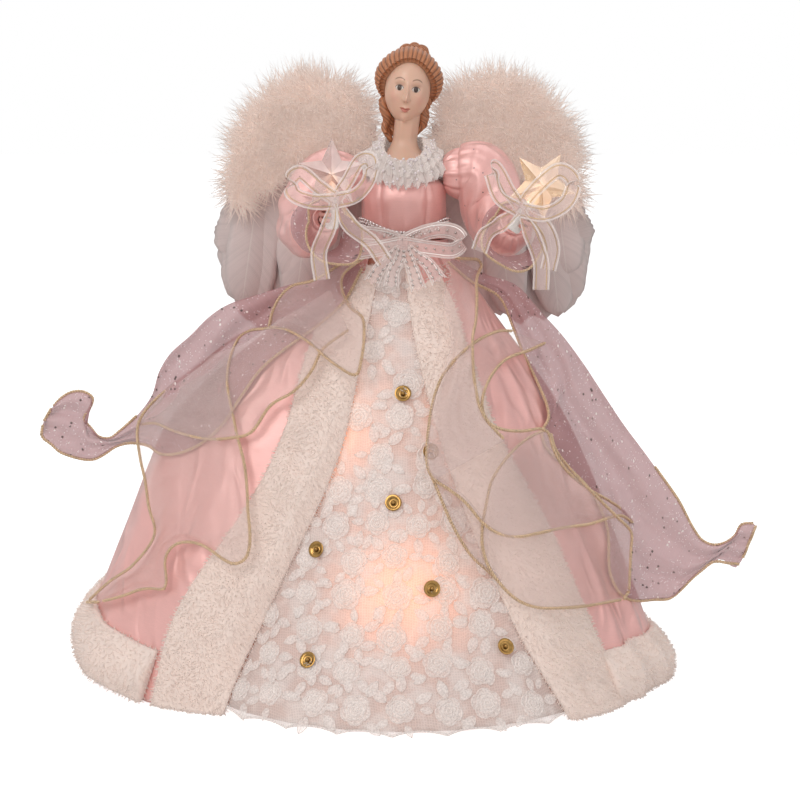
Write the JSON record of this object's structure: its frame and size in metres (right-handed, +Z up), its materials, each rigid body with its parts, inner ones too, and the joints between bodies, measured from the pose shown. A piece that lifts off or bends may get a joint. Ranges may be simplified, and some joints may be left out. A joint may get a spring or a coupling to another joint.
{
  "type": "lit angel tree topper",
  "caption": "Lit angel figure on a hollow cone that slips over a tree tip, with wings, satin and lace skirts, sheer drapes and a star lamp in each hand.",
  "frame": {"origin": "middle of the bounding box, at the height of the cone's rim, which the part stands on", "axes": "+Z up along the cone, the figure faces -Y, +X is the figure's own left"},
  "size_m": [0.4073, 0.2668, 0.3559],
  "materials": {
    "cone_plastic": "semi-matt moulding",
    "peach_satin": "satin",
    "pink_satin": "glossy satin",
    "lace": "embroidered lace",
    "plush": "short plush pile",
    "torso_plastic": "matt",
    "beads": "silvered beads",
    "belt_sheer": "sheer ribbon with silver dashes",
    "resin_skin": "painted resin",
    "resin_hair": "painted resin",
    "light_wire": "insulated wire",
    "gold_sequin": "metallised",
    "skirt_lamp": "lit miniature lamp",
    "armature_wire": "soft annealed wire",
    "glitter_organza": "sheer organza with glitter and a wired braid edge",
    "socket_plastic": "moulded",
    "lamp_glass": "clear lamp glass",
    "clear_acrylic": "clear faceted acrylic",
    "ribbon": "sheer ribbon with woven stripes",
    "feather": "dyed feathers",
    "marabou": "down",
    "ivory_sheer": "sheer organza with a gold braid edge"
  },
  "bodies": {
    "figure": {"base_cone": "cone_plastic", "petticoat": "peach_satin", "satin_overskirt": "pink_satin", "bodice": "pink_satin", "lace_panel": "lace", "lace_collar": "lace", "fur_band_left": "plush", "fur_band_right": "plush", "fur_hem": "plush", "torso_core": "torso_plastic", "wing_bracket": "torso_plastic", "waist_band": "beads", "belt_bow": "belt_sheer", "head_and_shoulders": "resin_skin", "hair": "resin_hair", "light_string_wire": "light_wire", "sequin_1": "gold_sequin", "sequin_2": "gold_sequin", "sequin_3": "gold_sequin", "sequin_4": "gold_sequin", "sequin_5": "gold_sequin", "sequin_6": "gold_sequin", "sequin_7": "gold_sequin", "skirt_lamp_1": "skirt_lamp", "skirt_lamp_2": "skirt_lamp", "skirt_lamp_3": "skirt_lamp", "skirt_lamp_4": "skirt_lamp", "skirt_lamp_5": "skirt_lamp", "skirt_lamp_6": "skirt_lamp", "skirt_lamp_7": "skirt_lamp", "skirt_lamp_8": "skirt_lamp", "glitter_drape_left": "glitter_organza", "front_drape_left": "ivory_sheer", "glitter_drape_right": "glitter_organza", "front_drape_right": "ivory_sheer"},
    "arm_left": {"arm_wire_left": "armature_wire", "puff_sleeve_left": "pink_satin", "sleeve_cuff_left": "pink_satin", "organza_oversleeve_left": "glitter_organza", "hand_left": "resin_skin", "lamp_socket_left": "socket_plastic", "hand_bow_left": "ribbon"},
    "bulb_left": {"hand_bulb_left": "lamp_glass"},
    "cap_left": {"star_cap_left": "clear_acrylic"},
    "wing_left": {"wing_frame_left": "armature_wire", "wing_feathers_left": "feather", "wing_marabou_left": "marabou"},
    "arm_right": {"arm_wire_right": "armature_wire", "puff_sleeve_right": "pink_satin", "sleeve_cuff_right": "pink_satin", "organza_oversleeve_right": "glitter_organza", "hand_right": "resin_skin", "lamp_socket_right": "socket_plastic", "hand_bow_right": "ribbon"},
    "bulb_right": {"hand_bulb_right": "lamp_glass"},
    "cap_right": {"star_cap_right": "clear_acrylic"},
    "wing_right": {"wing_frame_right": "armature_wire", "wing_feathers_right": "feather", "wing_marabou_right": "marabou"}
  },
  "joints": [
    {"name": "arm_left_raise", "type": "hinge", "parent": "figure", "child": "arm_left", "pos_m": [0.028, 0, 0.282], "axis": [-1, 0, 0], "range_deg": [0, 20]},
    {"name": "bulb_left_pull", "type": "slide", "parent": "arm_left", "child": "bulb_left", "axis": [0.5299, 0, 0.848], "range_m": [0, 0.009]},
    {"name": "cap_left_pull", "type": "slide", "parent": "bulb_left", "child": "cap_left", "axis": [0.5299, 0, 0.848], "range_m": [0, 0.016]},
    {"name": "wing_left_fold", "type": "hinge", "parent": "figure", "child": "wing_left", "pos_m": [0.009, 0.0252, 0.27], "axis": [0, 0, 1], "range_deg": [0, 30]},
    {"name": "arm_right_raise", "type": "hinge", "parent": "figure", "child": "arm_right", "pos_m": [-0.028, 0, 0.282], "axis": [-1, 0, 0], "range_deg": [0, 20]},
    {"name": "bulb_right_pull", "type": "slide", "parent": "arm_right", "child": "bulb_right", "axis": [0, 0, 1], "range_m": [0, 0.009]},
    {"name": "cap_right_pull", "type": "slide", "parent": "bulb_right", "child": "cap_right", "axis": [0, 0, 1], "range_m": [0, 0.016]},
    {"name": "wing_right_fold", "type": "hinge", "parent": "figure", "child": "wing_right", "pos_m": [-0.009, 0.0252, 0.27], "axis": [0, 0, -1], "range_deg": [0, 30]}
  ]
}
